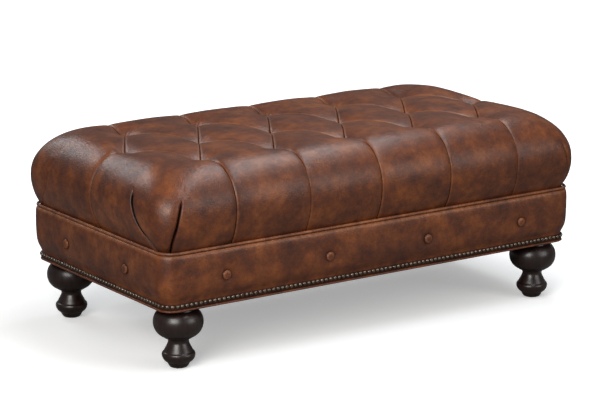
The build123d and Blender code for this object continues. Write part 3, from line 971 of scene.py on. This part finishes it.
        off_x, off_y = (np.take_along_axis(off, nearest, axis=1)[:, 0] for off in (off_x, off_y))
        from_tuft = np.hypot(off_x, off_y)
        gathers = np.sin(9 * np.arctan2(off_y, off_x) + 2.3 * nearest[:, 0])
        gathers *= 0.8 * MM * np.exp(-(((from_tuft - 13 * MM) / (8 * MM)) ** 2))
        depth = depth + self.crease_depth * nip + dart + gathers
        depth = depth + self.funnel_depth * np.exp(-from_tuft / self.funnel_width)
        # painted shade along the creases and in a spot at each tuft, where shade falls
        crease = shown * np.exp(-gap / (0.9 * MM)) + 0.9 * np.exp(-((from_tuft / (5 * MM)) ** 2))
        # the dart lines get the same painted shade
        crease = np.maximum(crease, np.exp(-dart_gap / (0.9 * MM)))
        # a thin lighter line beside each fold: part wear, part painted highlight, kept off the tufts
        rim_wear_and_highlight = 0.6 * shown * np.exp(-(((gap - 2.8 * MM) / (1.3 * MM)) ** 2)) * ease(from_tuft / (14 * MM))
        return {"depth": depth, "crease": np.clip(crease, 0, 1), "rim_wear_and_highlight": rim_wear_and_highlight, "from_tuft": from_tuft}

    def darts(self, flat: np.ndarray) -> tuple[np.ndarray, np.ndarray]:
        """How far the corner darts draw the sheet in, and how far off the nearest one is."""
        past_x, past_y = np.abs(flat[:, 0]) - self.turn_x, np.abs(flat[:, 1]) - self.turn_y
        out = np.hypot(past_x, past_y) - self.field_corner
        angle = np.arctan2(past_y, np.clip(past_x, 1e-9, None))
        inside = (past_x > 0) & (past_y > 0) & (out > 0)
        depth, gap = np.zeros(len(flat)), np.full(len(flat), 1.0)
        reach = self.corner * 2.1
        end_strength = np.where(flat[:, 1] < 0, 1.0, 0.5)
        for dart_angle, head, inward, whole in zip(
            self.dart_angles(out), self.dart_heads, (1, -1), (end_strength, 1.0)
        ):
            off = (angle - dart_angle) * reach * 1.75 * inward
            strength = ease((out - head) / (26 * MM)) * np.where(inside, whole, 0)
            width = np.where(off > 0, self.dart_inside, self.dart_outside)
            depth += strength * self.dart_depth * np.exp(-np.abs(off) / width)
            line = np.clip(np.abs(off + 0.4 * MM) - 1.5 * MM * strength, 0, None)
            gap = np.minimum(gap, np.where(strength > 0.05, line + 3 * MM * (1 - strength), 1.0))
        return depth, gap

    def swollen(self, flat: np.ndarray) -> np.ndarray:
        """How far the filling pushes the leather out.

        A coarser sheet, held round its tufts and along its foot, is blown up as cloth.

        Args:
            flat: Rows of x and y on the flat sheet.

        Returns:
            The way that each point moves.
        """
        coarse = replace(self, cell_faces=24, skirt_rows=40, dart_faces=12)
        piece = coarse.sheet()
        sheet = points_of(piece)[:, :2].copy()
        place, normal = coarse.lay(sheet)
        drawn = coarse.shape(sheet)
        rest = place - normal * drawn["depth"][:, None]
        move_points(piece, rest)
        close_seams(piece, 0)
        held = drawn["from_tuft"] < self.held_round_tufts
        held |= place[:, 2] < self.deck_top + self.held_foot
        piece.vertex_groups.new(name="held").add(np.flatnonzero(held).tolist(), 1.0, "REPLACE")
        make_active(piece)
        cloth = piece.modifiers.new("cloth", "CLOTH")
        settings = cloth.settings
        settings.quality = 5
        settings.mass = self.vertex_mass
        settings.vertex_group_mass = "held"
        settings.tension_stiffness = settings.compression_stiffness = self.stiffness
        settings.shear_stiffness = self.stiffness
        settings.bending_stiffness = self.bending
        settings.shrink_min = -self.slackness
        settings.use_pressure = True
        settings.uniform_pressure_force = self.pressure
        settings.effector_weights.gravity = 0
        cloth.point_cache.frame_start, cloth.point_cache.frame_end = 1, self.frames
        for frame_number in range(1, self.frames + 1):
            bpy.context.scene.frame_set(frame_number)
        bpy.ops.object.modifier_apply(modifier=cloth.name)
        moved = points_of(piece) - rest
        bpy.data.objects.remove(piece)
        bpy.context.scene.frame_set(1)
        length = np.linalg.norm(moved, axis=1)
        LOG.info("cloth: moves %.1f mm at most, %.1f mm on average", length.max() / MM, length.mean() / MM)
        moved *= (self.cloth_cap / (self.cloth_cap + length))[:, None]
        tree = kdtree.KDTree(len(sheet))
        for index, (x, y) in enumerate(sheet):
            tree.insert((x, y, 0), index)
        tree.balance()
        blended = np.zeros((len(flat), 3))
        for index, (x, y) in enumerate(flat):
            near = tree.find_n((x, y, 0), 5)
            weights = np.array([1 / (distance + 1 * MM) ** 2 for _, _, distance in near])
            blended[index] = weights @ moved[[number for _, number, _ in near]] / weights.sum()
        return blended

    def build(self) -> bpy.types.Object:
        """Cuts, lays and tufts the leather."""
        piece = self.sheet()
        flat = points_of(piece)[:, :2].copy()
        place, normal = self.lay(flat)
        drawn = self.shape(flat)
        depth = drawn["depth"]
        place = place + self.swollen(flat)
        slack = 0.9 * MM * lumps(place, 0.11, 3.1) + 0.45 * MM * lumps(place, 0.035, 8.4)
        slack *= np.clip(drawn["from_tuft"] / (20 * MM), 0, 1)
        move_points(piece, place + normal * (slack - depth)[:, None])
        # store the painted shade and the lighter fold edges (part wear, part painted highlight)
        paint(piece, "crease", drawn["crease"])
        paint(piece, "rim_wear_and_highlight", drawn["rim_wear_and_highlight"])
        make_active(piece)
        bpy.ops.object.mode_set(mode="EDIT")
        bpy.ops.mesh.select_all(action="DESELECT")
        bpy.ops.mesh.select_mode(type="EDGE")
        bpy.ops.mesh.select_non_manifold(extend=False, use_wire=False, use_multi_face=False, use_verts=False)
        bpy.ops.mesh.edge_face_add()
        bpy.ops.mesh.select_mode(type="VERT")
        bpy.ops.mesh.select_all(action="SELECT")
        bpy.ops.mesh.normals_make_consistent(inside=False)
        deselect()
        smooth(piece, 70)
        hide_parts("pad_cover")
        return piece


# The band under it


@dataclass
class Band:
    """The lower band: its leather, the wadding behind it, the welt above it and its buttons."""

    frame_base: float = 150 * MM
    deck_top: float = 288 * MM
    button_z: float = 223 * MM
    side_pitch: float = 294 * MM
    end_pitch: float = 280 * MM
    button_radius: float = 12 * MM
    face: float = 2 * MM
    step: float = 5 * MM
    button_seat: float = 3.6 * MM
    dimple_depth: float = 5.5 * MM
    dimple_width: float = 17 * MM
    shadow_width: float = 14.5 * MM
    leather_thickness: float = 1.6 * MM
    profile: tuple = (
        (-14, 150.2), (-12, 150), (-12, 160), (-12, 168), (-11.2, 173), (-8.6, 179), (-4.4, 187),
        (-0.8, 197), (1.2, 209), (2.0, 224), (2.3, 242), (2.2, 260), (1.8, 273), (0.8, 281),
        (-1.4, 285.6), (-5, 287.6), (-12, 287.9),
    )
    rows: int = 40

    def button_places(self) -> list[tuple[float, float, float, float]]:
        """Where the buttons are: x, y and the outward normal's x and y."""
        places = []
        for side in (-1, 1):
            for share in (-1.5, -0.5, 0.5, 1.5):
                places.append((share * self.side_pitch, side * (0.320 + self.face), 0, side))
            for share in (-0.5, 0.5):
                places.append((side * (0.610 + self.face), share * self.end_pitch, side, 0))
        return places

    def leather(self) -> bpy.types.Object:
        """The band's cover, drawn in at its foot and pulled in at each button."""
        profile = smoothed(list(self.profile), self.rows + 1) * MM
        piece, along, normal = wrapped("band_leather", profile, self.step)
        points = points_of(piece)
        sink = np.zeros(len(points))
        near = np.full(len(points), 1.0)
        for x, y, _, _ in self.button_places():
            off = np.sqrt(((points - (x, y, self.button_z)) ** 2).sum(axis=1))
            near = np.minimum(near, off)
            sink += self.dimple_depth * np.exp(-((off / self.dimple_width) ** 1.6))
        height = points[:, 2]
        held = ease((height - 168 * MM) / (24 * MM)) * ease((286 * MM - height) / (6 * MM))
        waves = 1.1 * MM * lumps(points, 0.13, 5.2) + 0.5 * MM * lumps(points, 0.04, 1.7)
        wander = 6 * lumps(points * (1, 1, 0), 0.09, 2.2)
        pucker = 0.5 + 0.5 * np.sin(along / (15 * MM) * 2 * math.pi + wander)
        gather = 0.9 * MM * pucker * ease((height - 262 * MM) / (20 * MM))
        foot = 0.8 * MM * pucker * ease((196 * MM - height) / (22 * MM))
        foot = foot * ease((height - 169 * MM) / (8 * MM))
        shift = held * waves - sink - gather - foot
        points[:, :2] += normal * shift[:, None]
        move_points(piece, points)
        # painted shade in the dimple round each button
        paint(piece, "crease", np.clip(np.exp(-((near / self.shadow_width) ** 4)) * 0.7, 0, 1))
        # painted highlight along the band's top roll under the welt
        paint(piece, "rim_wear_and_highlight", ease((height - 276 * MM) / (8 * MM)) * 0.55)
        close_seams(piece)
        apply_modifier(piece, "SOLIDIFY", thickness=self.leather_thickness, offset=-1)
        smooth(piece)
        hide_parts("band_cover")
        return piece

    def wadding(self) -> bpy.types.Object:
        """The fibre roll between the rails and the leather."""
        profile = [
            (-14, 176), (-13, 177), (-12.4, 184), (-11, 192), (-9.5, 200), (-9.5, 246), (-4.4, 256),
            (-3.4, 266), (-3.8, 274), (-5.6, 281), (-9, 283.5), (-14, 284), (-14, 230), (-14, 176),
        ]
        piece, _, _ = wrapped("band_wadding", np.array(profile) * MM, 14 * MM)
        close_seams(piece)
        smooth(piece)
        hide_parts("band_padding")
        return piece

    def welt(self) -> bpy.types.Object:
        """The leather-covered piping in the joint of pad and band."""
        angles = np.linspace(0, 2 * math.pi, 13)
        profile = np.column_stack([-4 - 3.7 * np.cos(angles), 291.4 - 3.6 * np.sin(angles)]) * MM
        piece, _, normal = wrapped("welt", profile, 5 * MM)
        points = points_of(piece)
        points[:, :2] += normal * (0.25 * MM * lumps(points, 0.02, 9.3))[:, None]
        move_points(piece, points)
        # painted shade on the underside of the piping cord
        paint(piece, "crease", 0.5 * ease((290.5 * MM - points[:, 2]) / (2 * MM)))
        close_seams(piece)
        smooth(piece)
        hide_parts("welt_cord")
        return piece

    def buttons(self) -> bpy.types.Object:
        """The covered buttons: a flattened dome, slightly dished, copied round the band."""
        deselect()
        bpy.ops.mesh.primitive_uv_sphere_add(segments=28, ring_count=18, radius=self.button_radius)
        button = named("button")
        points = points_of(button)
        share = np.hypot(points[:, 0], points[:, 1]) / self.button_radius
        points[:, 2] = np.where(points[:, 2] > 0, points[:, 2] * 0.47, points[:, 2] * 0.22)
        points[:, 2] -= np.where(points[:, 2] > 0, 0.9 * MM * np.exp(-((share / 0.35) ** 2)), 0)
        move_points(button, points + (0, 0, 0.6 * MM))
        # painted highlight ring on the dome
        paint(button, "rim_wear_and_highlight", 0.5 * np.exp(-(((share - 0.72) / 0.16) ** 2)))
        # painted shade at the button's edge, where it sinks into the band
        paint(button, "crease", 0.7 * ease((share - 0.9) / 0.1))
        smooth(button)
        moves = [
            facing((x - self.button_seat * across, y - self.button_seat * up, self.button_z), (across, up))
            for x, y, across, up in self.button_places()
        ]
        piece = repeated(button, moves, "buttons")
        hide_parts("band_buttons")
        return piece


@dataclass
class NailTrim:
    """The gimp strip along the foot of the band and its row of domed nails."""

    strip_out: float = -9 * MM
    nail_z: float = 164 * MM
    pitch: float = 12.7 * MM
    head_radius: float = 4.75 * MM
    head_height: float = 3.2 * MM

    def strip(self) -> bpy.types.Object:
        """The leather strip, with a corded lower edge."""
        profile = [
            (-12, 169), (-10.2, 169.2), (-9.2, 168.2), (-9, 166), (-9, 160), (-9.1, 156.4),
            (-9.8, 155.2), (-8.7, 154.6), (-7.9, 153.4), (-7.7, 152.2), (-8.2, 151), (-9.4, 150.2),
            (-11, 150.1), (-12, 150.1), (-12, 160), (-12, 169),
        ]
        piece, _, _ = wrapped("gimp_strip", np.array(profile) * MM, 6 * MM)
        points = points_of(piece)
        # painted shade on the strip above its corded edge, behind and between the nail heads
        paint(piece, "crease", 0.75 * ease((points[:, 2] - 154 * MM) / (2 * MM)))
        close_seams(piece)
        smooth(piece)
        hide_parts("nail_strip")
        return piece

    def nails(self) -> bpy.types.Object:
        """One domed head, copied all round at the nails' pitch."""
        deselect()
        bpy.ops.mesh.primitive_uv_sphere_add(segments=10, ring_count=8, radius=self.head_radius)
        head = named("nail")
        edit_all(head)
        bpy.ops.mesh.bisect(plane_co=(0, 0, 0), plane_no=(0, 0, -1), clear_outer=True, use_fill=True)
        deselect()
        points = points_of(head)
        move_points(head, points * (1, 1, self.head_height / self.head_radius))
        smooth(head, 50)
        line = WELT_LINE.inset(-self.strip_out)
        count = round(line.length / self.pitch)
        places, normals = line.at(np.arange(count) / count * line.length)
        moves = [facing((x, y, self.nail_z), normal) for (x, y), normal in zip(places, normals)]
        piece = repeated(head, moves, "nail_heads")
        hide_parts("nails")
        return piece


@dataclass
class TurnedLegs:
    """Four turned legs: tapered foot, ring, neck, collar and bun."""

    axis_x: float = 535 * MM
    axis_y: float = 254 * MM
    around: int = 72
    turnings: tuple = (
        ((20.4, 2), (21.2, 2.4), (24.6, 7.5), (27.6, 13.4)),
        ((29.8, 14.4), (34.4, 18.5), (38.2, 24.5), (39.6, 31), (38.6, 36), (36.8, 38.2)),
        ((35.4, 39.2), (32.4, 45), (28.2, 53), (25.2, 60), (24.6, 64.5), (26.2, 69.6), (28.6, 72.4)),
        ((31.6, 73.2), (34.6, 74), (35.6, 75.6)),
        (
            (37.2, 76.4), (44.2, 80), (52.2, 88), (57.4, 98), (59.5, 109), (58.6, 120), (54.4, 130.6),
            (48.4, 137.8), (43, 141.4),
        ),
        ((41.6, 142.2), (40.2, 146), (38, 149.8), (36, 150)),
    )

    def leg(self) -> bpy.types.Object:
        """One leg on the axis: a circle at its foot, extruded and resized up the profile."""
        deselect()
        profile = np.vstack([smoothed(list(turning), 3 * len(turning)) for turning in self.turnings])
        radius, height = profile[0]
        bpy.ops.mesh.primitive_circle_add(
            vertices=self.around, radius=radius * MM, fill_type="NGON", location=(0, 0, height * MM)
        )
        leg = named("leg")
        settle(leg)
        edit_all(leg)
        for next_radius, next_height in profile[1:]:
            bpy.ops.mesh.extrude_region_move(
                TRANSFORM_OT_translate={"value": (0, 0, (next_height - height) * MM)}
            )
            scale = next_radius / radius
            bpy.ops.transform.resize(value=(scale, scale, 1), center_override=(0, 0, next_height * MM))
            radius, height = next_radius, next_height
        deselect()
        close_seams(leg)
        smooth(leg, 32)
        return leg

    def build(self) -> bpy.types.Object:
        """The four legs."""
        corners = [(end, side) for end in (-1, 1) for side in (-1, 1)]
        moves = [Matrix.Translation((end * self.axis_x, side * self.axis_y, 0)) for end, side in corners]
        piece = repeated(self.leg(), moves, "turned_legs")
        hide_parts("legs")
        return piece


@dataclass
class Underside:
    """The foam under the leather and the dust cover under the frame."""

    foam_bevel: float = 18 * MM
    sag: float = 3 * MM
    cloth_thickness: float = 0.4 * MM

    def foam(self) -> bpy.types.Object:
        """The foam slab with its edges bevelled."""
        deselect()
        low, high = (Vector(corner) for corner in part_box("foam_core"))
        bpy.ops.mesh.primitive_cube_add(size=1, location=(low + high) / 2, scale=high - low)
        piece = named("foam_slab")
        settle(piece)
        apply_modifier(piece, "BEVEL", width=self.foam_bevel, segments=3)
        edit_all(piece)
        bpy.ops.mesh.subdivide(number_cuts=5)
        deselect()
        smooth(piece, 40)
        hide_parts("foam_core")
        return piece

    def dust_cover(self) -> bpy.types.Object:
        """The black cloth stretched under the frame, with a little sag."""
        low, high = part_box("dust_cover")
        half_x, half_y = high[0], high[1]
        piece, column, row = grid("dust_cloth", 60, 32)
        x = (column / 60 * 2 - 1) * half_x
        y = (row / 32 * 2 - 1) * half_y
        sag = self.sag * (1 - (x / half_x) ** 4) * (1 - (y / half_y) ** 4)
        move_points(piece, np.column_stack([x, y, low[2] + self.cloth_thickness - sag]))
        apply_modifier(piece, "SOLIDIFY", thickness=self.cloth_thickness, offset=0)
        smooth(piece)
        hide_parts("dust_cover")
        return piece


@dataclass
class Studio:
    """White floor, soft light and the photograph's camera."""

    camera_place: tuple = (-3.4764, -5.0324, 1.7685)
    yaw: float = 34.52
    pitch: float = 13.82
    lens: float = 150.0
    world_strength: float = 0.16
    lights: tuple = (
        ("overhead", (0.5, -0.3, 2.3), (3.0, 0.8), 44, (0.93, 0.97, 1.0)),
        ("back", (-0.9, 2.7, 2.0), (1.6, 0.6), 22, (0.93, 0.97, 1.0)),
        ("key", (-2.7, -1.9, 1.7), (1.8, 1.6), 84, (1.0, 0.98, 0.95)),
        ("fill", (1.6, -3.4, 1.5), (2.2, 1.6), 36, (1.0, 0.99, 0.97)),
    )

    def camera(self) -> None:
        """Sets the camera at the photograph's viewing angle."""
        data = bpy.data.cameras.new("camera")
        data.lens, data.sensor_width, data.clip_end = self.lens, 36.0, 100.0
        camera = bpy.data.objects.new("camera", data)
        camera.location = self.camera_place
        camera.rotation_euler = (math.radians(90 - self.pitch), 0, math.radians(-self.yaw))
        bpy.context.collection.objects.link(camera)
        bpy.context.scene.camera = camera

    def floor(self) -> None:
        """A wide white floor that keeps the object's shadow and has a painted glow to the camera, faint near
        the object and full white far off.
        """
        deselect()
        bpy.ops.mesh.primitive_plane_add(size=40)
        floor = named("floor")
        recipe = Recipe("white_floor")
        recipe.feed("Roughness", 0.9)
        recipe.feed("Specular IOR Level", 0.0)
        camera_ray = recipe.add("ShaderNodeLightPath").outputs["Is Camera Ray"]
        recipe.feed("Base Color", recipe.mix(camera_ray, (0.22, 0.21, 0.20), (0.86, 0.86, 0.86)))
        away = recipe.add("ShaderNodeVectorMath", {0: recipe.place}, operation="LENGTH").outputs["Value"]
        recipe.feed("Emission Color", (1, 1, 1, 1))
        # painted glow to the camera: 0.34 within 0.7 m of the middle, rising to full white at 1.9 m
        glow = recipe.spread(away, 0.7, 1.9, 0.34, 1.0)
        recipe.feed("Emission Strength", recipe.math("MULTIPLY", camera_ray, glow))
        under = recipe.add("ShaderNodeNewGeometry").outputs["Backfacing"]
        recipe.feed("Alpha", recipe.math("SUBTRACT", 1.0, under))
        floor.data.materials.append(recipe.material)

    def area(self, name: str, place: Place, size: Point, power: float, colour: tuple) -> None:
        """Hangs a soft light that faces the object.

        Args:
            name: The light's name.
            place: Where it hangs.
            size: Its width and length.
            power: Its power in watts.
            colour: Its colour.
        """
        data = bpy.data.lights.new(name, "AREA")
        data.shape, data.size, data.size_y = "RECTANGLE", *size
        data.energy, data.color = power, colour
        light = bpy.data.objects.new(name, data)
        light.location = place
        light.rotation_euler = (Vector((0, 0, 0.3)) - Vector(place)).to_track_quat("-Z", "Y").to_euler()
        bpy.context.collection.objects.link(light)

    def build(self) -> None:
        """Sets up the studio."""
        self.camera()
        self.floor()
        for light in self.lights:
            self.area(*light)
        world = bpy.data.worlds.new("studio")
        world.use_nodes = True
        nodes, links = world.node_tree.nodes, world.node_tree.links
        background = nodes["Background"]
        background.inputs["Color"].default_value = (1, 1, 1, 1)
        path = nodes.new("ShaderNodeLightPath")
        lift = nodes.new("ShaderNodeMapRange")
        lift.inputs["To Min"].default_value = self.world_strength
        links.new(path.outputs["Is Camera Ray"], lift.inputs["Value"])
        links.new(lift.outputs["Result"], background.inputs["Strength"])
        bpy.context.scene.world = world
        bpy.context.scene.view_settings.view_transform = "Standard"


def dress(piece: bpy.types.Object, material: bpy.types.Material) -> None:
    """Gives a piece its one material, puts it on the body and reports it."""
    piece.data.materials.clear()
    piece.data.materials.append(material)
    if piece.parent is None:
        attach(piece, "root")
    LOG.info("%s: %d vertices, %s", piece.name, len(piece.data.vertices), material.name)


def main() -> None:
    """Builds the dressed ottoman and its studio."""
    logging.basicConfig(level=logging.INFO, format="%(message)s")
    leather = AntiquedLeather().make()
    welt_leather = AntiquedLeather(
        name="welt_leather", dark=linear(84, 48, 32), middle=linear(122, 72, 46), light=linear(160, 100, 62)
    ).make()
    frame_wood = Wood("frame_wood", linear(160, 122, 82), linear(205, 170, 122), 0.7).make()
    leg_wood = Wood(
        "leg_wood", linear(20, 10, 8), linear(39, 21, 17), 0.36, along=(9.0, 9.0, 1.2), coat=0.28
    ).make()
    nail_metal = Metal("nail_metal", (0.27, 0.23, 0.19), (0.06, 0.045, 0.035), 0.36).make()
    steel = Metal("steel", (0.62, 0.62, 0.63), (0.38, 0.37, 0.36), 0.32).make()
    foam = Soft("foam", linear(214, 200, 160), linear(238, 228, 196), 420).make()
    wadding = Soft("wadding", linear(214, 214, 210), linear(244, 244, 240), 160, 0.8).make()
    twine = Soft("twine", linear(170, 150, 112), linear(214, 196, 158), 900).make()
    glide = Soft("glide", linear(28, 28, 28), linear(44, 44, 44), 300, 0.1).make()
    cambric = WovenCambric().make()

    band, trim, under = Band(), NailTrim(), Underside()
    for piece, material in (
        (PadCover().build(), leather),
        (band.leather(), leather),
        (band.buttons(), leather),
        (band.welt(), welt_leather),
        (band.wadding(), wadding),
        (trim.strip(), leather),
        (trim.nails(), nail_metal),
        (TurnedLegs().build(), leg_wood),
        (under.foam(), foam),
        (under.dust_cover(), cambric),
    ):
        dress(piece, material)
    kept = {
        frame_wood: (
            "deck_panel rail_front rail_back rail_left rail_right stretcher_left stretcher_right "
            "corner_dowels leg_blocks"
        ),
        steel: "tuft_washers deck_washers deck_screws frame_screws leg_tee_nuts hanger_bolts",
        twine: "tuft_twines",
        glide: "foot_glides",
    }
    for material, nodes in kept.items():
        for node in nodes.split():
            dress(frame["nodes"][node], material)
    Studio().build()


if __name__ == "__main__":
    main()
